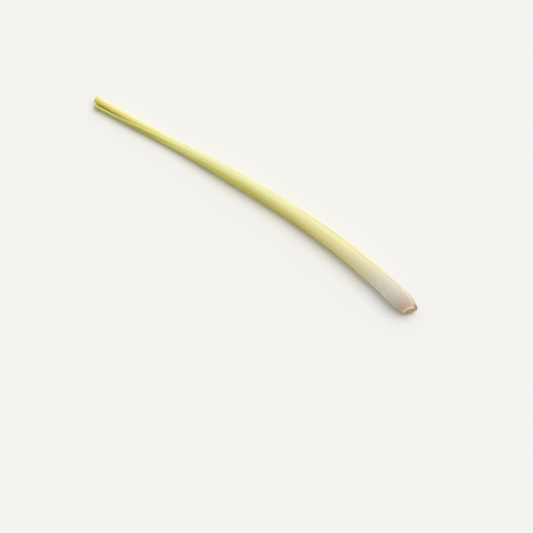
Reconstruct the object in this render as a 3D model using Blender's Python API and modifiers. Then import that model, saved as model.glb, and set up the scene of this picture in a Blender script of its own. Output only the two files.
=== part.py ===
"""A trimmed lemongrass stalk, lying on its side.

The stalk is a short culm base with leaf sheaths wrapped round it: a tight inner roll of young leaves,
a second sheath closed round that roll, and an outer sheath whose margins part along the stalk and
whose leaf end stands away from the roll as an open channel.

Metres, +Z up. X runs along the stalk, with the cut root end at +X and the cut leaf end at -X. The
origin is under the middle of the whole stalk, on the surface that it lies on.
"""

import math

import bmesh
import bpy
from mathutils import Vector

MM = 0.001

# The stalk as a whole
LENGTH = 239 * MM
BEND_SLOPE = 0.1  # sideways run of the leaf end, towards +Y, before the bend
BEND_POWER = 2.6  # how near to the root end the bend is
OVAL_WIDE = 1.02  # the stalk is a little wider than tall
OVAL_TALL = 0.98
CUT_SLANT = 3.0 * MM  # the root end is cut at a slant, furthest up the stalk at its -Y side
CUT_SLANT_RADIUS = 4.4 * MM
CUT_SLANT_REACH = 12 * MM  # the slant dies away over this distance
GAP = 0.3 * MM  # between neighbouring leaves

# Distance from the root end, and the stalk's radius over the outer sheath there
OUTER_RADIUS = [
    (0.0, 4.0),
    (1.5, 4.42),
    (5.0, 5.14),
    (9.0, 5.72),
    (13.0, 6.0),
    (18.0, 6.06),
    (28.0, 5.92),
    (40.0, 5.86),
    (54.0, 5.52),
    (72.0, 5.22),
    (86.0, 4.9),
    (105.0, 4.73),
    (138.0, 4.57),
    (151.0, 4.12),
    (163.0, 3.66),
    (178.0, 3.3),
    (218.0, 3.3),
    (229.0, 3.15),
    (239.0, 3.12),
]

# Angles round the stalk are measured in degrees from +Z towards +Y
OUTER_NEAR_MARGIN = [
    (0.0, 36.0),
    (15.0, 31.0),
    (28.0, 27.0),
    (38.0, 21.0),
    (62.0, 19.0),
    (76.0, 23.0),
    (91.0, 34.0),
    (107.0, 42.0),
    (138.0, 50.0),
    (157.0, 44.0),
    (169.0, 22.0),
    (181.0, -2.0),
    (195.0, -26.0),
    (210.0, -43.0),
    (222.0, -57.0),
    (239.0, -62.0),
]
OUTER_FAR_MARGIN = [
    (0.0, 47.0),
    (4.0, 60.0),
    (10.0, 74.0),
    (34.0, 84.0),
    (60.0, 88.0),
    (120.0, 82.0),
    (165.0, 98.0),
    (190.0, 128.0),
    (239.0, 158.0),
]

# Outer sheath
OUTER_START = 0.4 * MM
OUTER_END = 237.5 * MM
OUTER_THICKNESS = [(0.0, 0.8), (120.0, 0.7), (190.0, 0.55), (239.0, 0.6)]
MARGIN_SHARE = 0.35  # a leaf's thickness at its margin, as a share of its middle
CHANNEL_SHIFT = -0.5 * MM  # how far the leaf end of the outer sheath moves in Y

# Second sheath
SECOND_START = 2.3 * MM
SECOND_END = LENGTH
SECOND_THICKNESS = [(0.0, 0.7), (120.0, 0.55), (239.0, 0.4)]
SECOND_SLIT = 5.0  # degrees left open at the bottom, where its margins meet

# Where the outer sheath leaves the roll, and how far the roll then moves
SPLIT_START = 186 * MM
ROLL_SHIFT = 1.5 * MM
ROLL_RISE = 0.25 * MM
ROLL_SHRINK = 0.3 * MM

# Culm base: the short piece of stem that the leaves grow from
CULM_FLANGE_RADIUS = 3.1 * MM
CULM_FLANGE_HEIGHT = 2.0 * MM
CULM_CORE_RADIUS = 2.3 * MM
CULM_HEIGHT = 12.0 * MM
CULM_ROUND = 0.5 * MM

# Inner roll
ROLL_START = CULM_HEIGHT + GAP
ROLL_END = LENGTH - 0.4 * MM

# Mesh density
RINGS = 44
RING_CROWDING = 1.25  # above 1, the rings stand closer at the root end
OUTER_COLUMNS = 20
SECOND_COLUMNS = 16
ROUND_COLUMNS = 24
MERGE = 0.00001


def smooth_through(stations, distance):
    """The value at a distance from the root end in metres, on a smooth curve through the stations."""
    at = min(max(distance / MM, stations[0][0]), stations[-1][0])
    last = len(stations) - 2
    i = next((k for k in range(last + 1) if at <= stations[k + 1][0]), last)

    def slope(k):
        low, high = stations[max(k - 1, 0)], stations[min(k + 1, last + 1)]
        return (high[1] - low[1]) / (high[0] - low[0])

    (x0, y0), (x1, y1) = stations[i], stations[i + 1]
    span = x1 - x0
    t = (at - x0) / span
    return (
        (2 * t**3 - 3 * t**2 + 1) * y0
        + (t**3 - 2 * t**2 + t) * span * slope(i)
        + (3 * t**2 - 2 * t**3) * y1
        + (t**3 - t**2) * span * slope(i + 1)
    )


def outer_radius(distance):
    return smooth_through(OUTER_RADIUS, distance) * MM


def outer_thickness(distance):
    return smooth_through(OUTER_THICKNESS, distance) * MM


def second_thickness(distance):
    return smooth_through(SECOND_THICKNESS, distance) * MM


def inside_of_outer(distance):
    return outer_radius(distance) - outer_thickness(distance)


def leaning(distance):
    """How far the leaf end has parted at this distance: 0 at the split's start, 1 at the leaf end."""
    return max(0.0, (distance - SPLIT_START) / (LENGTH - SPLIT_START)) ** 2


def inside_of_second(distance):
    outside = inside_of_outer(distance) - GAP - ROLL_SHRINK * leaning(distance)
    return outside - second_thickness(distance)


def centre(distance, shift=0.0, rise=0.0):
    """The middle of the stalk, so that the outer sheath touches Z = 0 all along."""
    run = LENGTH - distance
    bend = BEND_SLOPE * run * (1 - max(run / LENGTH, 0.0) ** BEND_POWER)
    return Vector(
        (
            LENGTH / 2 - distance,
            bend + shift * leaning(distance),
            outer_radius(distance) * OVAL_TALL + rise * leaning(distance),
        )
    )


def sideways(distance, shift=0.0):
    """The level direction across the stalk, towards +Y."""
    step = 1 * MM
    along = centre(distance - step, shift) - centre(distance + step, shift)
    return Vector((-along.y, along.x, 0)).normalized()


def slanted(distance, radius, angle):
    """The distance, moved up the stalk near the root end so that the end is cut at a slant."""
    share = (1 - radius * math.sin(angle) / CUT_SLANT_RADIUS) / 2
    return distance + CUT_SLANT * share * max(0.0, 1 - distance / CUT_SLANT_REACH)


def on_section(distance, radius, degrees, shift=0.0, rise=0.0):
    angle = math.radians(degrees)
    distance = slanted(distance, radius, angle)
    return (
        centre(distance, shift, rise)
        + sideways(distance, shift) * (radius * OVAL_WIDE * math.sin(angle))
        + Vector((0, 0, radius * OVAL_TALL * math.cos(angle)))
    )


def ring_distance(share, start, end):
    return start + (end - start) * share**RING_CROWDING


def material(name, colour, roughness):
    made = bpy.data.materials.new(name)
    made.use_nodes = True
    shader = made.node_tree.nodes["Principled BSDF"]
    shader.inputs["Base Color"].default_value = (*colour, 1.0)
    shader.inputs["Roughness"].default_value = roughness
    shader.inputs["Metallic"].default_value = 0.0
    return made


def wrapped_leaf(name, span, columns, inner_radius, thickness, margins, shift, rise):
    """A leaf sheath: a flat grid rolled into its inner surface, then thickened outwards.

    margins gives the two margin angles at a distance. The sheath thins towards both of them.
    """
    grid = bmesh.new()
    bmesh.ops.create_grid(grid, x_segments=RINGS, y_segments=columns, size=0.5)
    widest = max(thickness(ring_distance(k / RINGS, *span)) for k in range(RINGS + 1))
    weights = []
    for vertex in grid.verts:
        along, across = vertex.co.x + 0.5, vertex.co.y + 0.5
        distance = ring_distance(along, *span)
        first, second = margins(distance)
        vertex.co = on_section(
            distance,
            inner_radius(distance),
            first + (second - first) * across,
            shift,
            rise,
        )
        to_margin = math.sin(math.pi * across) ** 0.5
        share = MARGIN_SHARE + (1 - MARGIN_SHARE) * to_margin
        weights.append(share * thickness(distance) / widest)
    bmesh.ops.recalc_face_normals(grid, faces=grid.faces)
    mesh = bpy.data.meshes.new(name)
    grid.to_mesh(mesh)
    grid.free()
    mesh.shade_smooth()

    leaf = bpy.data.objects.new(name, mesh)
    group = leaf.vertex_groups.new(name="thickness")
    for index, weight in enumerate(weights):
        group.add([index], weight, "REPLACE")
    solid = leaf.modifiers.new("thickness", "SOLIDIFY")
    solid.thickness = widest
    solid.vertex_group = group.name
    middle = mesh.polygons[len(mesh.polygons) // 2]
    outward = middle.normal.dot(middle.center - centre(span[0] + (span[1] - span[0]) / 2))
    solid.offset = 1.0 if outward > 0 else -1.0
    return leaf


def outer_sheath():
    def margins(distance):
        near = smooth_through(OUTER_NEAR_MARGIN, distance)
        far = smooth_through(OUTER_FAR_MARGIN, distance) - 360
        return near, far

    return wrapped_leaf(
        "outer_sheath",
        (OUTER_START, OUTER_END),
        OUTER_COLUMNS,
        inside_of_outer,
        outer_thickness,
        margins,
        CHANNEL_SHIFT,
        0.0,
    )


def second_sheath():
    def margins(distance):
        return 180 - SECOND_SLIT / 2, -180 + SECOND_SLIT / 2

    return wrapped_leaf(
        "second_sheath",
        (SECOND_START, SECOND_END),
        SECOND_COLUMNS,
        inside_of_second,
        second_thickness,
        margins,
        ROLL_SHIFT,
        ROLL_RISE,
    )


def round_piece(name, profile, shift=0.0, rise=0.0):
    """A closed round solid: profile lists the distance and radius of each ring, from axis to axis."""
    grid = bmesh.new()
    bmesh.ops.create_grid(
        grid, x_segments=len(profile) - 1, y_segments=ROUND_COLUMNS, size=0.5
    )
    for vertex in grid.verts:
        distance, radius = profile[round((vertex.co.x + 0.5) * (len(profile) - 1))]
        degrees = 360 * (vertex.co.y + 0.5)
        vertex.co = on_section(distance, radius, degrees, shift, rise)
    bmesh.ops.remove_doubles(grid, verts=grid.verts, dist=MERGE)
    bmesh.ops.recalc_face_normals(grid, faces=grid.faces)
    mesh = bpy.data.meshes.new(name)
    grid.to_mesh(mesh)
    grid.free()
    mesh.shade_smooth()
    return bpy.data.objects.new(name, mesh)


def inner_roll():
    """The young leaves at the heart, rolled so tightly that they make one tapered rod."""
    distances = [ring_distance(k / RINGS, ROLL_START, ROLL_END) for k in range(RINGS + 1)]
    wall = [(distance, inside_of_second(distance) - GAP) for distance in distances]
    return round_piece(
        "inner_roll", [(ROLL_START, 0.0), *wall, (ROLL_END, 0.0)], ROLL_SHIFT, ROLL_RISE
    )


def culm_base():
    """The flange ends in the cut face, and its core reaches up inside the sheaths."""
    profile = [
        (0.0, 0.0),
        (0.0, CULM_FLANGE_RADIUS - CULM_ROUND * 1.5),
        (CULM_ROUND / 2, CULM_FLANGE_RADIUS - CULM_ROUND / 2),
        (CULM_ROUND * 2, CULM_FLANGE_RADIUS),
        (CULM_FLANGE_HEIGHT, CULM_FLANGE_RADIUS),
        (CULM_FLANGE_HEIGHT, CULM_CORE_RADIUS),
        (CULM_HEIGHT - CULM_ROUND, CULM_CORE_RADIUS),
        (CULM_HEIGHT, CULM_CORE_RADIUS - CULM_ROUND),
        (CULM_HEIGHT, 0.0),
    ]
    return round_piece("culm_base", profile)


def bounds(objects):
    """Lowest and highest corner of the objects, modifiers included."""
    graph = bpy.context.evaluated_depsgraph_get()
    corners = []
    for obj in objects:
        made = obj.evaluated_get(graph)
        mesh = made.to_mesh()
        corners += [made.matrix_world @ vertex.co for vertex in mesh.vertices]
        made.to_mesh_clear()
    low = Vector(min(c[k] for c in corners) for k in range(3))
    high = Vector(max(c[k] for c in corners) for k in range(3))
    return low, high


def main():
    for obj in list(bpy.data.objects):
        bpy.data.objects.remove(obj)
    stalk = bpy.data.collections.new("lemongrass_stalk")
    bpy.context.scene.collection.children.link(stalk)

    pieces = [
        (culm_base(), material("culm", (0.50, 0.39, 0.24), 0.8)),
        (inner_roll(), material("young_leaves", (0.78, 0.75, 0.42), 0.6)),
        (second_sheath(), material("inner_leaf", (0.80, 0.74, 0.40), 0.5)),
        (outer_sheath(), material("outer_leaf", (0.72, 0.70, 0.33), 0.5)),
    ]
    origin = bpy.data.objects.new("stalk_origin", None)
    stalk.objects.link(origin)
    for piece, finish in pieces:
        stalk.objects.link(piece)
        piece.data.materials.append(finish)
        piece.parent = origin
    bpy.context.view_layer.update()

    low, high = bounds([piece for piece, _ in pieces])
    origin.location = (-(low.x + high.x) / 2, -(low.y + high.y) / 2, -low.z)


main()
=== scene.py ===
"""The looks of a trimmed lemongrass stalk that lies on a pale floor.

Each CAD piece is replaced by a detailed one in the same place: leaf sheaths with ribs, thin uneven
margins and a torn rim at the root end, a roll of young leaves, and a fibrous cut stem.

Lengths are in metres, and MM turns millimetres into them. "Distance" is always from the root end,
along the stalk. Angles round the stalk are in degrees from +Z towards +Y.
"""

import math

import bmesh
import bpy
import numpy as np
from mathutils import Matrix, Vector


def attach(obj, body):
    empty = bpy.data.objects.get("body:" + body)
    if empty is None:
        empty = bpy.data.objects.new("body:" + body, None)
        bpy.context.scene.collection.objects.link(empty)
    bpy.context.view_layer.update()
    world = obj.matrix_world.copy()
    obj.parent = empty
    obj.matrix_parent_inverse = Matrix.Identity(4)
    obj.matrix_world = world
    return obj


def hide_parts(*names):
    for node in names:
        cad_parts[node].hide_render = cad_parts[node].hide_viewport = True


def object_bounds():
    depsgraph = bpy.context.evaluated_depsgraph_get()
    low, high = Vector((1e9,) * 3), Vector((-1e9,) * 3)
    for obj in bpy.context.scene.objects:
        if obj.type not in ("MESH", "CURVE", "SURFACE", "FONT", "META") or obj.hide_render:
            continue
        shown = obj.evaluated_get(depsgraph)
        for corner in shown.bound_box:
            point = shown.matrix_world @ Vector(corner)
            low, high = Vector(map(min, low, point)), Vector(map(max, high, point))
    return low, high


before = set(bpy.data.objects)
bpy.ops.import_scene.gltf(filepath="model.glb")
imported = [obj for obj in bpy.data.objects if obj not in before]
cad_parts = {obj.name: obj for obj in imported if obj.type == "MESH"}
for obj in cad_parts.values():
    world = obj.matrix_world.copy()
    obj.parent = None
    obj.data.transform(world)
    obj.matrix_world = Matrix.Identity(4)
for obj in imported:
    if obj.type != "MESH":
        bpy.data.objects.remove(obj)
low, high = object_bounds()

MM = 0.001

# ---------------------------------------------------------------- the stalk's shape, as in the CAD
LENGTH = 239 * MM
BEND_SLOPE = 0.1  # at the leaf end: sideways run for each unit of length
BEND_POWER = 2.6  # the higher, the nearer the bend is to the root end
OVAL_WIDE = 1.02  # the stalk is a little wider than tall
OVAL_TALL = 0.98
CUT_SLANT = 3.0 * MM  # the root end is cut at a slant, furthest up the stalk at its -Y side
CUT_SLANT_RADIUS = 4.4 * MM
CUT_SLANT_REACH = 12 * MM  # the slant dies away over this distance

# Distance in mm, and the stalk's radius over the outer sheath there in mm
OUTER_RADIUS = [
    (0.0, 4.0),
    (1.5, 4.42),
    (5.0, 5.14),
    (9.0, 5.72),
    (13.0, 6.0),
    (18.0, 6.06),
    (28.0, 5.92),
    (40.0, 5.86),
    (54.0, 5.52),
    (72.0, 5.22),
    (86.0, 4.9),
    (105.0, 4.73),
    (138.0, 4.57),
    (151.0, 4.12),
    (163.0, 3.66),
    (178.0, 3.3),
    (218.0, 3.3),
    (229.0, 3.15),
    (239.0, 3.12),
]
# Distance in mm, and the angle of each margin of the outer sheath
NEAR_MARGIN = [
    (0.0, 36.0),
    (15.0, 31.0),
    (28.0, 27.0),
    (38.0, 21.0),
    (62.0, 19.0),
    (76.0, 23.0),
    (91.0, 34.0),
    (107.0, 42.0),
    (138.0, 50.0),
    (157.0, 44.0),
    (169.0, 22.0),
    (181.0, -2.0),
    (195.0, -26.0),
    (210.0, -43.0),
    (222.0, -57.0),
    (239.0, -62.0),
]
FAR_MARGIN = [
    (0.0, 47.0),
    (4.0, 60.0),
    (10.0, 74.0),
    (34.0, 84.0),
    (60.0, 88.0),
    (120.0, 82.0),
    (165.0, 98.0),
    (190.0, 128.0),
    (239.0, 158.0),
]
# Distance in mm, and thickness in mm
OUTER_THICKNESS = [(0.0, 0.8), (120.0, 0.7), (190.0, 0.55), (239.0, 0.6)]
SECOND_THICKNESS = [(0.0, 0.7), (120.0, 0.55), (239.0, 0.4)]

# Where the outer sheath leaves the roll, and how far each of them has moved at the leaf end
SPLIT_START = 186 * MM
CHANNEL_SHIFT = -0.5 * MM
ROLL_SHIFT = 1.5 * MM
ROLL_RISE = 0.25 * MM
ROLL_SHRINK = 0.3 * MM  # off the roll's radius

# ---------------------------------------------------------------- detail that the CAD leaves out
LEAF_GAP = 0.08 * MM  # between leaves that touch
LEAF_CREASE = 48.0  # degrees: edges of a leaf that are bent more than this stay sharp
ROOT_CROWDING = 1.5  # above 1, rows stand closer at the root end

RIB_COUNT = 34  # broad ribs across a full leaf
RIB_HEIGHT = 0.035 * MM
DENT_DEPTH = 0.12 * MM  # slow unevenness of a leaf's surface
MARGIN_BAND = 2.6 * MM  # a leaf thins over this width towards its margins
MARGIN_SHARE = 0.16  # thickness left at a margin
OPEN_MARGIN_SHARE = 0.8  # the same where the outer sheath stands away from the roll
OPEN_MARGIN_START = 176 * MM
OPEN_MARGIN_BAND = 22 * MM
MARGIN_WAVER = 1.6  # degrees
FINE_MARGIN_WAVER = 0.5  # degrees

# The torn rim at the root end of a sheath
RIM_START = 0.25 * MM
RIM_SLANT = 0.35 * MM  # the torn rim is this much further up the stalk at its highest place
RIM_HIGH_ANGLE = -110.0  # the angle of that place
RIM_TEAR = 0.15 * MM  # unevenness of the tear
RIM_BAND = 1.6 * MM  # a sheath thins over this width towards its rim
RIM_SHARE = 0.45  # thickness left at the rim
RIM_FLARE = 0.06 * MM  # how far the rim stands off
SECOND_RIM_STEP = 0.5 * MM  # the second sheath's rim lies this much further up

OUTER_END = 237.5 * MM
CUT_WAVER = 0.12 * MM  # unevenness of the cut leaf end

SECOND_MARGIN_ANGLE = 104.0
SECOND_OVERLAP = 26.0  # degrees that the second sheath laps under itself
SECOND_SPAN = 360 + SECOND_OVERLAP
LAP_START = 3.2  # overlaps from its inner margin to where the second sheath begins to dive
LAP_DEPTH = 2.2  # how deep it dives, in thicknesses of its margin

ROLL_TURNS = 3.2
ROLL_START = 12.3 * MM
ROLL_SET_BACK = 0.5 * MM  # the roll's cut end lies this much inside the second sheath's
ROLL_OUTER_ANGLE = 200.0  # where the outermost young leaf has its margin
ROLL_HEART = 0.1  # radius of the hollow at the heart, as a share of the roll's
YOUNG_LEAF_SHARE = 0.74  # a young leaf's thickness, as a share of the room for one turn
LEAST_RADIUS = 0.02 * MM

# The cut stem: its face, the side that the sheaths grow from, and the core inside the roll
CULM_FACE_RADIUS = 2.5 * MM
CULM_SIDE_RADIUS = 3.8 * MM
CULM_EDGE_STRETCH = 1.3  # how much longer than wide the rounded edge is
CULM_SIDE_START = 1.9 * MM
CULM_TOP = 4.5 * MM
CULM_CORE_RADIUS = 2.3 * MM
CULM_CORE_TOP = 12.0 * MM
CULM_COLUMNS = 128
CULM_FACE_DEPTH = 0.5 * MM  # what is nearer to the root end than this is face
CULM_RING_SPACING = 0.62 * MM
CULM_RING_DEPTH = 0.04 * MM
CULM_ROUGHNESS = 0.06 * MM
CULM_LUMP_SIZE = 0.9 * MM
CULM_GRAIN_SIZE = 0.35 * MM
CULM_BOWL_DEPTH = 0.05 * MM
CULM_SIDE_ROUGHNESS = 0.03 * MM

# ---------------------------------------------------------------- colours, from 0 to 255 a channel
# Distance in mm, and colour
OUTER_COLOURS = [
    # the pale colour right at the rim: partly the torn rim's own tan, partly a painted highlight on
    # its lip
    (0.0, (255, 232, 186)),
    (0.5, (236, 200, 154)),
    (1.3, (208, 178, 150)),
    (3.0, (202, 178, 160)),
    (7.0, (205, 189, 181)),
    (13.0, (214, 207, 198)),
    (22.0, (224, 218, 196)),
    (38.0, (234, 226, 184)),
    (60.0, (242, 235, 176)),
    (90.0, (242, 238, 176)),
    (150.0, (243, 243, 184)),
    (185.0, (238, 238, 168)),
    (205.0, (226, 226, 138)),
    (239.0, (222, 226, 130)),
]
# keel colour: partly the leaf's greener middle, partly painted shade on the side away from the
# light
OUTER_KEEL_AND_SHADE = (219, 210, 74)
OUTER_MARGIN_COLOURS = [
    (0.0, (232, 190, 138)),
    (12.0, (226, 206, 170)),
    (20.0, (200, 166, 116)),
    (44.0, (204, 176, 120)),
    (54.0, (246, 242, 196)),
    (150.0, (244, 246, 198)),
    (239.0, (248, 254, 210)),
]
# Towards the leaf end these colours are lighter and yellower than the leaf's own: painted light,
# standing in for light through the leaf into the shaded channel.
OUTER_INSIDE_COLOURS = [
    (0.0, (214, 190, 150)),
    (40.0, (232, 224, 190)),
    (120.0, (226, 220, 150)),
    (190.0, (226, 216, 108)),
    (239.0, (232, 224, 100)),
]
SECOND_COLOURS = [
    (0.0, (244, 214, 160)),
    (1.5, (226, 208, 168)),
    (8.0, (232, 226, 190)),
    (40.0, (242, 236, 186)),
    (90.0, (225, 225, 151)),
    (140.0, (233, 232, 162)),
    (190.0, (250, 248, 186)),
    (232.0, (252, 250, 192)),
    (239.0, (246, 238, 168)),
]
# keel colour: partly the leaf's greener middle, partly painted shade on the side away from the
# light
SECOND_KEEL_AND_SHADE = (238, 223, 140)
SECOND_MARGIN_COLOURS = [
    (0.0, (222, 180, 120)),
    (30.0, (232, 210, 150)),
    (239.0, (244, 236, 180)),
]
YOUNG_COLOURS = [
    (0.0, (240, 232, 190)),
    (150.0, (242, 236, 180)),
    (239.0, (224, 212, 126)),
]
INSIDE_KEEL = (240, 236, 200)
YOUNG_KEEL = (250, 244, 220)

STREAK_COLOUR = (226, 216, 140)
VEIN_COLOUR = (255, 252, 226)
# painted shade, dark brown, along the root-end rim
RIM_SHADE_COLOUR = (150, 124, 106)
MOTTLE_COLOUR = (226, 208, 196)
FROST_COLOUR = (230, 231, 222)
SPECK_COLOUR = (255, 253, 238)

# Distance from the middle of the cut face, as a share of the stem's radius, and colour
STEM_COLOURS = [
    (0.0, (210, 192, 170)),
    (0.35, (200, 180, 160)),
    (0.62, (182, 160, 144)),
    (0.80, (198, 178, 158)),
    (0.92, (176, 154, 140)),
    (1.0, (162, 140, 128)),
]
FIBRE_COLOUR = (140, 112, 90)
STEM_MOTTLE_COLOUR = (186, 160, 142)
STEM_MOTTLING = 900.0  # per metre, as the next
STEM_FIBRES = 2400.0

# Patterns on a leaf: how many waves of each lie along it and across it
BROAD_BANDS = (5.0, 22.0)
STREAKS = (9.0, 95.0)
VEINS = (3.0, 330.0)
GRAIN = (900.0, 260.0)
MOTTLING = (170.0, 38.0)
FROST = (48.0, 11.0)
SPECKS = (34.0, 26.0)
SPECK_RARITY = 0.93  # the share of the places for a speck that stay empty
LEAF_BUMP = {"Strength": 0.55, "Distance": 0.09 * MM}
STEM_BUMP = {"Strength": 0.8, "Distance": 0.15 * MM}

# ---------------------------------------------------------------- camera, floor and light
CAMERA_AZIMUTH = 36.98  # degrees; 0 looks along +Y
CAMERA_ELEVATION = 65.0
CAMERA_DISTANCE = 0.694
CAMERA_AIM = (33.5 * MM, -31.3 * MM, 0.0)
CAMERA_LENS = 80.0
CAMERA_SENSOR = 36.0

FLOOR_SIZE = 6.0
FLOOR_DROP = 0.05 * MM
FLOOR_COLOUR = (0.90, 0.90, 0.895)  # linear
FLOOR_CLOUD_COLOUR = (0.9, 0.9, 0.9)

SKY_HORIZON = 0.92
SKY_ZENITH = 0.40
SKY_FADE_HEIGHT = 0.7  # sine of the elevation from which the sky is as dim as at its top
KEY_AZIMUTH = 20.0  # degrees from +Y towards +X
KEY_ELEVATION = 65.0
KEY_ANGLE = 58.0  # degrees across: a broad light is a soft one
KEY_STRENGTH = 1.8
KEY_COLOUR = (1.0, 0.985, 0.955)


def smooth_curve(stations):
    """A function of distance: a smooth curve through stations of (distance in mm, value)."""
    at, value = np.array(stations, dtype=float).T
    at = at * MM
    slope = np.gradient(value, at)

    def evaluate(distance):
        place = np.clip(distance, at[0], at[-1])
        i = np.clip(np.searchsorted(at, place, side="right") - 1, 0, len(at) - 2)
        span = at[i + 1] - at[i]
        t = (place - at[i]) / span
        return (
            (2 * t**3 - 3 * t**2 + 1) * value[i]
            + (t**3 - 2 * t**2 + t) * span * slope[i]
            + (3 * t**2 - 2 * t**3) * value[i + 1]
            + (t**3 - t**2) * span * slope[i + 1]
        )

    return evaluate


outer_radius_mm = smooth_curve(OUTER_RADIUS)
outer_thickness_mm = smooth_curve(OUTER_THICKNESS)
second_thickness_mm = smooth_curve(SECOND_THICKNESS)
near_margin = smooth_curve(NEAR_MARGIN)
far_margin = smooth_curve(FAR_MARGIN)


def ease(x):
    """0 below 0, 1 above 1, and smooth between."""
    x = np.clip(x, 0.0, 1.0)
    return x * x * (3 - 2 * x)


def wander(along, across, seed, waves=9):
    """Smooth random values, mostly within -1 to 1.

    One unit of along or across is one wave or so. Each use has a seed of its own.
    """
    chance = np.random.default_rng(seed)
    total = np.zeros(np.broadcast(along, across).shape)
    for _ in range(waves):
        run, rise = chance.normal(scale=math.tau * 0.7, size=2)
        total += np.sin(run * along + rise * across + chance.uniform(0, math.tau))
    return total / math.sqrt(waves)


def leaning(distance):
    """How far the leaf end has parted: 0 up to the split's start, 1 at the leaf end."""
    return np.clip((distance - SPLIT_START) / (LENGTH - SPLIT_START), 0.0, None) ** 2


def inside_of_outer(distance):
    return (outer_radius_mm(distance) - outer_thickness_mm(distance)) * MM


def outside_of_second(distance):
    return inside_of_outer(distance) - LEAF_GAP - ROLL_SHRINK * leaning(distance)


def outside_of_roll(distance):
    return outside_of_second(distance) - second_thickness_mm(distance) * MM - LEAF_GAP


def centre(distance, shift=0.0, rise=0.0):
    """The middle of the stalk. shift and rise move a piece aside where the leaf end has parted."""
    run = LENGTH - distance
    bend = BEND_SLOPE * run * (1 - np.clip(run / LENGTH, 0.0, None) ** BEND_POWER)
    return np.stack(
        [
            LENGTH / 2 - distance,
            bend + shift * leaning(distance),
            outer_radius_mm(distance) * MM * OVAL_TALL + rise * leaning(distance),
        ],
        axis=-1,
    )


def sideways(distance, shift):
    """The level direction across the stalk, towards +Y."""
    step = 1 * MM
    along = centre(distance - step, shift) - centre(distance + step, shift)
    across = np.stack([-along[..., 1], along[..., 0], np.zeros_like(distance)], axis=-1)
    return across / np.linalg.norm(across, axis=-1, keepdims=True)


def slanted(distance, radius, angle):
    """The distance, moved up the stalk near the root end so that the end is cut at a slant."""
    share = (1 - radius * np.sin(angle) / CUT_SLANT_RADIUS) / 2
    return distance + CUT_SLANT * share * np.clip(1 - distance / CUT_SLANT_REACH, 0.0, None)


def on_section(distance, radius, degrees, shift=0.0, rise=0.0):
    """Points round the stalk, at these distances, radii and angles."""
    angle = np.radians(degrees)
    distance = slanted(distance, radius, angle)
    up = np.array([0.0, 0.0, 1.0])
    return (
        centre(distance, shift, rise)
        + sideways(distance, shift) * (radius * OVAL_WIDE * np.sin(angle))[..., None]
        + up * (radius * OVAL_TALL * np.cos(angle))[..., None]
    )


# ---------------------------------------------------------------- meshes
def grid_faces(rows, columns, first=0):
    """Quads between neighbouring vertices of a grid whose vertices are listed row by row."""
    index = np.arange(rows * columns).reshape(rows, columns) + first
    corners = [index[:-1, :-1], index[1:, :-1], index[1:, 1:], index[:-1, 1:]]
    return np.stack([corner.ravel() for corner in corners], axis=-1)


def strip_faces(one, other):
    """Quads that join two equal runs of vertices."""
    return np.stack([one[:-1], one[1:], other[1:], other[:-1]], axis=-1)


def mesh_object(name, vertices, faces, uv, materials, face_material=None, crease=None):
    """A smooth closed mesh, with uv giving one pair per vertex.

    Edges bent by more than crease degrees stay sharp.
    """
    mesh = bpy.data.meshes.new(name)
    mesh.from_pydata(vertices.tolist(), [], faces)
    for material in materials:
        mesh.materials.append(material)
    if face_material is not None:
        mesh.polygons.foreach_set("material_index", face_material)
    layer = mesh.uv_layers.new(name="leaf")
    corner = np.empty(len(mesh.loops), dtype=np.int32)
    mesh.loops.foreach_get("vertex_index", corner)
    layer.uv.foreach_set("vector", uv[corner].ravel().astype(np.float32))
    form = bmesh.new()
    form.from_mesh(mesh)
    bmesh.ops.recalc_face_normals(form, faces=form.faces)
    form.to_mesh(mesh)
    form.free()
    mesh.shade_smooth()
    if crease is not None:
        mesh.set_sharp_from_angle(angle=math.radians(crease))
    piece = bpy.data.objects.new(name, mesh)
    bpy.context.scene.collection.objects.link(piece)
    return piece


def leaf_object(name, outside, inside, uv, materials):
    """A leaf from two grids of points, its outer and inner face, joined along all four edges."""
    rows, columns = outside.shape[:2]
    count = rows * columns
    vertices = np.concatenate([outside.reshape(-1, 3), inside.reshape(-1, 3)])
    outer_grid = grid_faces(rows, columns)
    inner_grid = grid_faces(rows, columns, count)
    index = np.arange(count).reshape(rows, columns)
    edges = [index[0], index[-1], index[:, 0], index[:, -1]]
    rims = np.concatenate([strip_faces(edge, edge + count) for edge in edges])
    faces = np.concatenate([outer_grid, inner_grid, rims])
    face_material = np.zeros(len(faces), dtype=np.int32)
    face_material[len(outer_grid) : len(outer_grid) + len(inner_grid)] = 1
    both = np.concatenate([uv.reshape(-1, 2)] * 2)
    return mesh_object(name, vertices, faces.tolist(), both, materials, face_material, LEAF_CREASE)


def leaf_grid(rows, columns):
    """Shares along the stalk and across the leaf, closer at the root end and the margins."""
    along = np.linspace(0.0, 1.0, rows) ** ROOT_CROWDING
    even = np.linspace(0.0, 1.0, columns)
    across = 0.6 * even + 0.4 * (0.5 - 0.5 * np.cos(math.pi * even))
    return np.meshgrid(along, across, indexing="ij")


def rim_distance(degrees, seed):
    """Where the torn root end of a sheath lies at these angles."""
    slant = 0.5 + 0.5 * np.cos(np.radians(degrees - RIM_HIGH_ANGLE))
    tear = wander(degrees / 16, 0.0, seed) + 0.6 * wander(degrees / 5, 0.0, seed + 1)
    return RIM_START + RIM_SLANT * slant + RIM_TEAR * tear


def leaf_relief(distance, across, seed):
    """How far a leaf's outer face stands out from its even shape."""
    drift = 0.6 * wander(distance / 0.06, across * 3, seed)
    ribs = np.abs(np.sin(math.pi * RIB_COUNT * across + drift))
    ribs = (ribs - 0.6) * (0.6 + 0.4 * wander(distance / 0.03, across * 12, seed + 1))
    dents = wander(distance / 0.05, across * 3, seed + 2)
    return RIB_HEIGHT * ribs + DENT_DEPTH * (dents - 1) * 0.5


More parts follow.
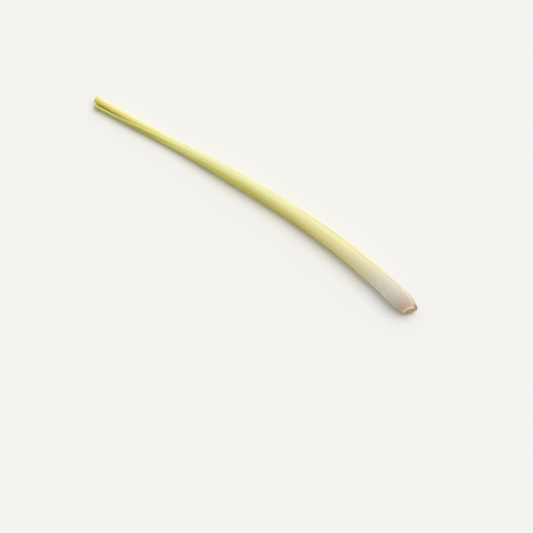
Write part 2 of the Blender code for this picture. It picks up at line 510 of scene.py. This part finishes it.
def outer_sheath(materials):
    along, across = leaf_grid(280, 170)
    reach = along * LENGTH
    near_waver = MARGIN_WAVER * wander(reach / 0.03, 0.0, 11)
    near_waver += FINE_MARGIN_WAVER * wander(reach / 0.006, 0.0, 12)
    near = near_margin(reach) + near_waver
    far = far_margin(reach) - 360 + MARGIN_WAVER * wander(reach / 0.035, 0.0, 13)
    degrees = near + (far - near) * across

    start = rim_distance(degrees, 21)
    end = OUTER_END + CUT_WAVER * wander(across * 5, 0.0, 22)
    distance = start + (end - start) * along
    from_rim = distance - start
    thinning = ease(from_rim / RIM_BAND)

    radius = outer_radius_mm(distance) * MM
    width = np.radians(np.abs(far - near)) * radius
    from_margin = np.minimum(across, 1 - across) * width
    opened = ease((distance - OPEN_MARGIN_START) / OPEN_MARGIN_BAND)
    least = MARGIN_SHARE + (OPEN_MARGIN_SHARE - MARGIN_SHARE) * opened
    share = least + (1 - least) * ease(from_margin / MARGIN_BAND)
    share *= RIM_SHARE + (1 - RIM_SHARE) * thinning
    thickness = share * outer_thickness_mm(distance) * MM
    flare = RIM_FLARE * (1 - thinning) * (1 + wander(degrees / 9, 0.0, 23))
    base = inside_of_outer(distance) + flare
    relief = leaf_relief(distance, across, 31) * share

    place = {"shift": CHANNEL_SHIFT}
    outside = on_section(distance, base + thickness + relief, degrees, **place)
    inside = on_section(distance, base, degrees, **place)
    uv = np.stack([from_rim / LENGTH, across], axis=-1)
    return leaf_object("outer_leaf", outside, inside, uv, materials)


def second_sheath(materials):
    """Closed round the roll: its inner margin dives under its outer one."""
    along, across = leaf_grid(240, 150)
    degrees = SECOND_MARGIN_ANGLE - SECOND_SPAN * across
    start = rim_distance(degrees, 41) + SECOND_RIM_STEP
    end = LENGTH + CUT_WAVER * wander(across * 6, 0.0, 42)
    distance = start + (end - start) * along
    from_rim = distance - start

    radius = outside_of_second(distance)
    width = np.radians(SECOND_SPAN) * radius
    from_margin = np.minimum(across, 1 - across) * width
    share = MARGIN_SHARE + (1 - MARGIN_SHARE) * ease(from_margin / MARGIN_BAND)
    full = second_thickness_mm(distance) * MM
    thickness = share * full
    lap_start = 1 - LAP_START * SECOND_OVERLAP / SECOND_SPAN
    lap_end = 1 - SECOND_OVERLAP / SECOND_SPAN
    tuck = ease((across - lap_start) / (lap_end - lap_start))
    dive = tuck * MARGIN_SHARE * LAP_DEPTH * full
    sink = (full - thickness) * (1 - tuck) * (across > 0.5)
    surface = radius - dive + leaf_relief(distance, across, 51) * share - sink

    place = {"shift": ROLL_SHIFT, "rise": ROLL_RISE}
    outside = on_section(distance, surface, degrees, **place)
    inside = on_section(distance, surface - thickness, degrees, **place)
    uv = np.stack([from_rim / LENGTH, across], axis=-1)
    return leaf_object("inner_leaf", outside, inside, uv, materials)


def inner_roll(materials):
    """Young leaves as one long spiral, so that the cut end shows its turns."""
    along, across = leaf_grid(110, 200)
    distance = ROLL_START + (LENGTH - ROLL_SET_BACK - ROLL_START) * along
    distance = distance + along**8 * CUT_WAVER * 2.5 * wander(across * 7, 0.0, 62)
    outside_radius = outside_of_roll(distance)
    degrees = ROLL_OUTER_ANGLE - 360 * ROLL_TURNS * across
    spiral = 1 - (1 - ROLL_HEART) * across
    pitch = outside_radius * (1 - ROLL_HEART) / ROLL_TURNS
    edge = ease(np.minimum(across, 1 - across) * 12)
    thickness = pitch * YOUNG_LEAF_SHARE * (0.3 + 0.7 * edge)
    surface = outside_radius * spiral

    place = {"shift": ROLL_SHIFT, "rise": ROLL_RISE}
    outside = on_section(distance, surface, degrees, **place)
    inside = on_section(distance, np.maximum(surface - thickness, LEAST_RADIUS), degrees, **place)
    uv = np.stack([distance / LENGTH, across], axis=-1)
    return leaf_object("young_leaves", outside, inside, uv, materials)


def culm_profile():
    """Distance and radius, from the middle of the cut face over its edge and up to the core."""
    face = [(0.0, CULM_FACE_RADIUS * share) for share in np.linspace(0.02, 1.0, 30)]
    rounding = CULM_SIDE_RADIUS - CULM_FACE_RADIUS
    edge = [
        (
            rounding * (1 - math.cos(turn)) * CULM_EDGE_STRETCH,
            CULM_FACE_RADIUS + rounding * math.sin(turn),
        )
        for turn in np.radians(np.linspace(0, 90, 9)[1:])
    ]
    side = [(reach, CULM_SIDE_RADIUS) for reach in np.linspace(CULM_SIDE_START, CULM_TOP, 14)]
    core = [(CULM_TOP, CULM_CORE_RADIUS), (CULM_CORE_TOP, CULM_CORE_RADIUS), (CULM_CORE_TOP, 0.0)]
    return np.array(face + edge + side + core)


def culm_relief(distance, radius, degrees):
    """How far the cut face is pushed up the stalk, and how far the side is pushed outwards."""
    x = radius * np.sin(np.radians(degrees))
    y = radius * np.cos(np.radians(degrees))
    on_face = (distance < CULM_FACE_DEPTH).astype(float)
    rings = np.sin(radius / CULM_RING_SPACING * math.tau)
    coarse = wander(x / CULM_LUMP_SIZE, y / CULM_LUMP_SIZE, 71)
    fine = wander(x / CULM_GRAIN_SIZE, y / CULM_GRAIN_SIZE, 72)
    bowl = 1 - (radius / CULM_FACE_RADIUS) ** 2
    rough = coarse + 0.6 * fine + 1.6
    face = CULM_RING_DEPTH * rings + CULM_ROUGHNESS * rough + CULM_BOWL_DEPTH * bowl
    side = CULM_SIDE_ROUGHNESS * wander(degrees / 12, distance / (1.5 * MM), 73)
    return on_face * face, (1 - on_face) * side


def culm_base(materials):
    """The stem: an uneven cut face, a rounded edge, and a side that runs up inside the sheaths."""
    profile = culm_profile()
    rows, columns = len(profile), CULM_COLUMNS
    distance = np.repeat(profile[:, :1], columns, axis=1)
    radius = np.repeat(profile[:, 1:], columns, axis=1)
    degrees = np.repeat(np.linspace(0, 360, columns, endpoint=False)[None, :], rows, axis=0)
    inwards, outwards = culm_relief(distance, radius, degrees)
    points = on_section(distance + inwards, radius + outwards, degrees)

    index = np.arange(rows * columns).reshape(rows, columns)
    index = np.concatenate([index, index[:, :1]], axis=1)
    faces = [quad for k in range(rows - 1) for quad in strip_faces(index[k], index[k + 1]).tolist()]
    for ring, middle in ((index[0], rows * columns), (index[-1], rows * columns + 1)):
        faces += [[int(one), int(other), middle] for one, other in zip(ring[:-1], ring[1:])]
    middles = [points[0].mean(axis=0), points[-1].mean(axis=0)]
    vertices = np.concatenate([points.reshape(-1, 3), middles])
    uv = np.stack([distance / LENGTH, radius / CULM_SIDE_RADIUS], axis=-1).reshape(-1, 2)
    uv = np.concatenate([uv, [[0.0, 0.0], [CULM_CORE_TOP / LENGTH, 0.0]]])
    return mesh_object("cut_stem", vertices, faces, uv, materials)


# ---------------------------------------------------------------- materials
def linear(colour):
    """A colour from 0 to 255 a channel, as seen on a screen, in linear light."""
    channels = np.array(colour) / 255
    low, high = channels / 12.92, ((channels + 0.055) / 1.055) ** 2.4
    return (*np.where(channels <= 0.04045, low, high).tolist(), 1.0)


class Nodes:
    """A material's nodes, made and linked in one call each."""

    def __init__(self, name):
        self.material = bpy.data.materials.new(name)
        self.material.use_nodes = True
        self.tree = self.material.node_tree
        self.shader = self.tree.nodes["Principled BSDF"]

    def put(self, value, socket):
        if isinstance(value, bpy.types.NodeSocket):
            self.tree.links.new(value, socket)
        else:
            socket.default_value = value

    def add(self, kind, settings=None, **inputs):
        node = self.tree.nodes.new(kind)
        for name, value in (settings or {}).items():
            setattr(node, name, value)
        for name, value in inputs.items():
            self.put(value, node.inputs[name])
        return node

    def math(self, operation, first, second):
        node = self.tree.nodes.new("ShaderNodeMath")
        node.operation = operation
        self.put(first, node.inputs[0])
        self.put(second, node.inputs[1])
        return node.outputs[0]

    def mix(self, factor, first, second, blend="MIX"):
        node = self.tree.nodes.new("ShaderNodeMix")
        node.data_type = "RGBA"
        node.blend_type = blend
        self.put(factor, node.inputs["Factor"])
        self.put(first, node.inputs[6])
        self.put(second, node.inputs[7])
        return node.outputs[2]

    def spread(self, value, low, high, to_low=0.0, to_high=1.0):
        """value, with low to high stretched over to_low to to_high, and held there outside."""
        node = self.tree.nodes.new("ShaderNodeMapRange")
        node.interpolation_type = "SMOOTHSTEP"
        for socket, number in zip(node.inputs, (value, low, high, to_low, to_high)):
            self.put(number, socket)
        return node.outputs[0]

    def ramp(self, value, stops):
        """Colours along a value: stops are (place from 0 to 1, colour from 0 to 255 a channel)."""
        node = self.tree.nodes.new("ShaderNodeValToRGB")
        self.put(value, node.inputs[0])
        elements = node.color_ramp.elements
        while len(elements) < len(stops):
            elements.new(0.5)
        for element, (place, colour) in zip(elements, stops):
            element.position = place
            element.color = linear(colour)
        return node.outputs[0]

    def noise(self, vector, scale, detail=2.0, roughness=0.5):
        node = self.add("ShaderNodeTexNoise", Vector=vector, Scale=scale, Detail=detail)
        node.inputs["Roughness"].default_value = roughness
        return node.outputs["Fac"]

    def stretched(self, vector, scale):
        node = self.add("ShaderNodeMapping", Vector=vector)
        node.inputs["Scale"].default_value = scale
        return node.outputs[0]


def leaf_material(name, colours, keel_and_shade, margin_colours, roughness, seed, open_end_shade=0.0):
    """One side of a leaf.

    colours and margin_colours are (mm from the root end, colour). The keel colour darkens the leaf
    along its middle, away from the root end: partly the leaf's greener middle, partly painted shade
    on the side of the stalk away from the light. The open-end amount is how strongly it does so
    near the margins at the leaf end, partly the leaf end's own green and partly painted shade on
    the parted flap.
    """
    make = Nodes(name)
    place = make.add("ShaderNodeUVMap", {"uv_map": "leaf"}).outputs[0]
    parts = make.add("ShaderNodeSeparateXYZ", Vector=place)
    # along: from the root end, as a share of the stalk. across: 0 to 1 between the margins
    along, across = parts.outputs[0], parts.outputs[1]

    def along_leaf(stops):
        return make.ramp(along, [(reach * MM / LENGTH, shade) for reach, shade in stops])

    def scaled(waves, offset=0.0):
        return make.stretched(place, (*waves, seed + offset))

    def fade(value, factor):
        return make.math("MULTIPLY", value, factor)

    edge = make.math("MINIMUM", across, make.math("SUBTRACT", 1.0, across))
    green = make.spread(along, 0.05, 0.35, 0.15, 1.0)
    # how much keel colour: partly the leaf's greener middle, partly painted shade on the side away
    # from the light
    middle = fade(make.spread(edge, 0.14, 0.42), green)
    # near the leaf end: partly the leaf end's own green, partly painted shade on the parted flap
    flap_shade = make.spread(along, 0.66, 0.84, 0.0, open_end_shade)
    middle = make.math("MAXIMUM", middle, fade(make.spread(edge, 0.05, 0.15), flap_shade))
    colour = make.mix(middle, along_leaf(colours), linear(keel_and_shade), "MULTIPLY")

    broad = make.noise(scaled(BROAD_BANDS), 1.0, 3.0)
    streaks = make.noise(scaled(STREAKS), 1.0, 3.0, 0.6)
    veins = make.noise(scaled(VEINS), 1.0, 2.0, 0.7)
    grain = make.noise(scaled(GRAIN), 1.0, 2.0, 0.6)
    for pattern, most in ((broad, 0.30), (streaks, 0.42)):
        amount = fade(make.spread(pattern, 0.45, 0.75, 0.0, most), green)
        colour = make.mix(amount, colour, linear(STREAK_COLOUR), "MULTIPLY")
    colour = make.mix(make.spread(veins, 0.48, 0.78, 0.0, 0.30), colour, linear(VEIN_COLOUR))

    # painted shade along the rim at the root end, on the leaf's far part from its first margin;
    # mottled near the root end, and frosted in a band there
    rim_shade = fade(make.spread(across, 0.36, 0.46), make.spread(along, 0.001, 0.009, 0.9, 0.0))
    colour = make.mix(rim_shade, colour, linear(RIM_SHADE_COLOUR))
    near_root = make.spread(along, 0.10, 0.22, 1.0, 0.0)
    mottling = make.noise(scaled(MOTTLING), 1.0, 3.0, 0.6)
    shade = fade(make.spread(mottling, 0.50, 0.72, 0.0, 0.34), near_root)
    colour = make.mix(shade, colour, linear(MOTTLE_COLOUR), "MULTIPLY")
    frost_band = fade(make.spread(along, 0.045, 0.075), make.spread(along, 0.09, 0.14, 1.0, 0.0))
    frost = make.noise(scaled(FROST, 5), 1.0, 4.0, 0.65)
    frost = fade(make.spread(frost, 0.42, 0.62, 0.0, 0.5), frost_band)
    colour = make.mix(frost, colour, linear(FROST_COLOUR))

    # a few pale specks
    cells = make.add("ShaderNodeTexVoronoi", Vector=scaled(SPECKS), Scale=1.0)
    lot = make.add("ShaderNodeSeparateColor", Color=cells.outputs["Color"]).outputs[0]
    chosen = make.math("GREATER_THAN", lot, SPECK_RARITY)
    speck = fade(make.spread(cells.outputs["Distance"], 0.05, 0.16, 1.0, 0.0), chosen)
    colour = make.mix(fade(speck, 0.75), colour, linear(SPECK_COLOUR))

    # the first margin in its own colours
    waver = fade(make.math("SUBTRACT", streaks, 0.5), 0.012)
    margin = make.spread(make.math("ADD", across, waver), 0.006, 0.020, 0.85, 0.0)
    colour = make.mix(margin, colour, along_leaf(margin_colours))
    make.put(colour, make.shader.inputs["Base Color"])

    rough = make.spread(streaks, 0.3, 0.7, roughness - 0.07, roughness + 0.08)
    make.put(rough, make.shader.inputs["Roughness"])

    height = make.math("ADD", fade(veins, 0.7), fade(streaks, 0.5))
    height = make.math("ADD", height, fade(grain, 0.06))
    bump = make.add("ShaderNodeBump", Height=height, **LEAF_BUMP)
    make.put(bump.outputs[0], make.shader.inputs["Normal"])

    shader = make.shader.inputs
    shader["Subsurface Weight"].default_value = 0.2
    shader["Subsurface Radius"].default_value = (0.8, 0.7, 0.4)
    shader["Subsurface Scale"].default_value = 0.8 * MM
    shader["Specular IOR Level"].default_value = 0.35
    return make.material


def stem_material():
    """The cut stem: a brown fibrous face with rings, darker towards its edge."""
    make = Nodes("cut_stem")
    place = make.add("ShaderNodeTexCoord").outputs["Object"]
    ring_place = make.add("ShaderNodeUVMap", {"uv_map": "leaf"}).outputs[0]
    out = make.add("ShaderNodeSeparateXYZ", Vector=ring_place).outputs[1]

    mottle = make.noise(place, STEM_MOTTLING, 4.0, 0.65)
    waver = make.math("MULTIPLY", make.math("SUBTRACT", mottle, 0.5), 0.12)
    colour = make.ramp(make.math("ADD", out, waver), STEM_COLOURS)
    fibres = make.add("ShaderNodeTexVoronoi", Vector=place, Scale=STEM_FIBRES)
    fibre = make.spread(fibres.outputs["Distance"], 0.16, 0.34, 1.0, 0.0)
    colour = make.mix(make.math("MULTIPLY", fibre, 0.3), colour, linear(FIBRE_COLOUR))
    shade = make.spread(mottle, 0.4, 0.7, 0.0, 0.5)
    colour = make.mix(shade, colour, linear(STEM_MOTTLE_COLOUR), "MULTIPLY")
    make.put(colour, make.shader.inputs["Base Color"])
    make.put(make.spread(mottle, 0.3, 0.7, 0.7, 0.92), make.shader.inputs["Roughness"])

    height = make.math("SUBTRACT", mottle, make.math("MULTIPLY", fibre, 0.4))
    bump = make.add("ShaderNodeBump", Height=height, **STEM_BUMP)
    make.put(bump.outputs[0], make.shader.inputs["Normal"])
    make.shader.inputs["Specular IOR Level"].default_value = 0.2
    return make.material


def floor_material():
    make = Nodes("pale_floor")
    place = make.add("ShaderNodeTexCoord").outputs["Object"]
    cloud = make.noise(place, 3.0, 2.0)
    clouded = make.spread(cloud, 0.3, 0.7, 0.0, 0.02)
    colour = make.mix(clouded, (*FLOOR_COLOUR, 1.0), (*FLOOR_CLOUD_COLOUR, 1.0))
    make.put(colour, make.shader.inputs["Base Color"])
    make.shader.inputs["Roughness"].default_value = 0.85
    make.shader.inputs["Specular IOR Level"].default_value = 0.1
    return make.material


# ---------------------------------------------------------------- the stage
def direction(azimuth, elevation):
    """From the middle of the scene outwards: azimuth 0 is -Y and turns towards +X."""
    turn, lift = math.radians(azimuth), math.radians(elevation)
    level = math.cos(lift)
    return Vector((math.sin(turn) * level, -math.cos(turn) * level, math.sin(lift)))


def add_camera():
    camera = bpy.data.cameras.new("camera")
    camera.lens = CAMERA_LENS
    camera.sensor_width = CAMERA_SENSOR
    camera.clip_start = 0.01
    camera.clip_end = 20
    piece = bpy.data.objects.new("camera", camera)
    away = direction(CAMERA_AZIMUTH, CAMERA_ELEVATION)
    piece.location = Vector(CAMERA_AIM) + away * CAMERA_DISTANCE
    piece.rotation_euler = away.to_track_quat("Z", "Y").to_euler()
    bpy.context.scene.collection.objects.link(piece)
    bpy.context.scene.camera = piece


def add_key_light():
    lamp = bpy.data.lights.new("key", "SUN")
    lamp.angle = math.radians(KEY_ANGLE)
    lamp.energy = KEY_STRENGTH
    lamp.color = KEY_COLOUR
    piece = bpy.data.objects.new("key", lamp)
    away = direction(180 - KEY_AZIMUTH, KEY_ELEVATION)
    piece.location = away
    piece.rotation_euler = away.to_track_quat("Z", "Y").to_euler()
    bpy.context.scene.collection.objects.link(piece)


def add_sky():
    """White light from all round, brightest at the horizon."""
    world = bpy.data.worlds.new("studio")
    world.use_nodes = True
    tree = world.node_tree
    sky = tree.nodes["Background"]
    sky.inputs["Color"].default_value = (1.0, 1.0, 1.0, 1.0)
    place = tree.nodes.new("ShaderNodeTexCoord")
    parts = tree.nodes.new("ShaderNodeSeparateXYZ")
    fade = tree.nodes.new("ShaderNodeMapRange")
    fade.inputs["From Max"].default_value = SKY_FADE_HEIGHT
    fade.inputs["To Min"].default_value = SKY_HORIZON
    fade.inputs["To Max"].default_value = SKY_ZENITH
    tree.links.new(place.outputs["Generated"], parts.inputs[0])
    tree.links.new(parts.outputs["Z"], fade.inputs["Value"])
    tree.links.new(fade.outputs[0], sky.inputs["Strength"])
    bpy.context.scene.world = world


def add_floor():
    mesh = bpy.data.meshes.new("floor")
    half = FLOOR_SIZE / 2
    corners = [(-half, -half, 0), (half, -half, 0), (half, half, 0), (-half, half, 0)]
    mesh.from_pydata(corners, [], [(0, 1, 2, 3)])
    mesh.materials.append(floor_material())
    piece = bpy.data.objects.new("floor", mesh)
    piece.location.z = -FLOOR_DROP
    bpy.context.scene.collection.objects.link(piece)


def place_on_frame(pieces, low, high):
    """Moves the meshes so that their box has the CAD box's middle and stands on its bottom."""
    points = np.concatenate([[v.co[:] for v in piece.data.vertices] for piece in pieces])
    bottom = np.array([(low[0] + high[0]) / 2, (low[1] + high[1]) / 2, low[2]])
    middle = (points.min(axis=0) + points.max(axis=0)) / 2
    middle[2] = points[:, 2].min()
    for piece in pieces:
        for vertex in piece.data.vertices:
            vertex.co += Vector(bottom - middle)
        piece.data.update()


def leaf_materials():
    """The outer sheath's two sides, the second sheath's outside, and the young leaves."""
    outer = leaf_material(
        "outer_leaf", OUTER_COLOURS, OUTER_KEEL_AND_SHADE, OUTER_MARGIN_COLOURS, 0.46, 3.0, open_end_shade=1.0
    )
    outer_inside = leaf_material(
        "outer_leaf_inside", OUTER_INSIDE_COLOURS, INSIDE_KEEL, OUTER_MARGIN_COLOURS, 0.5, 7.0
    )
    second = leaf_material(
        "inner_leaf", SECOND_COLOURS, SECOND_KEEL_AND_SHADE, SECOND_MARGIN_COLOURS, 0.46, 11.0
    )
    young = leaf_material(
        "young_leaves", YOUNG_COLOURS, YOUNG_KEEL, SECOND_MARGIN_COLOURS, 0.5, 17.0
    )
    return outer, outer_inside, second, young


def main(low, high):
    """Makes the stalk and the stage. low and high are the corners of the CAD box."""
    outer, outer_inside, second, young = leaf_materials()
    stalk = [
        (outer_sheath([outer, outer_inside]), "outer_sheath", "outer_leaf"),
        (second_sheath([second, young]), "second_sheath", "inner_leaf"),
        (inner_roll([young, young]), "inner_roll", "young_leaves"),
        (culm_base([stem_material()]), "culm_base", "culm"),
    ]
    place_on_frame([piece for piece, _, _ in stalk], low, high)
    for piece, node, slot in stalk:
        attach(piece, "root")
        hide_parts(node)

    add_floor()
    add_sky()
    add_key_light()
    add_camera()
    bpy.context.scene.view_settings.view_transform = "Standard"


main(low, high)
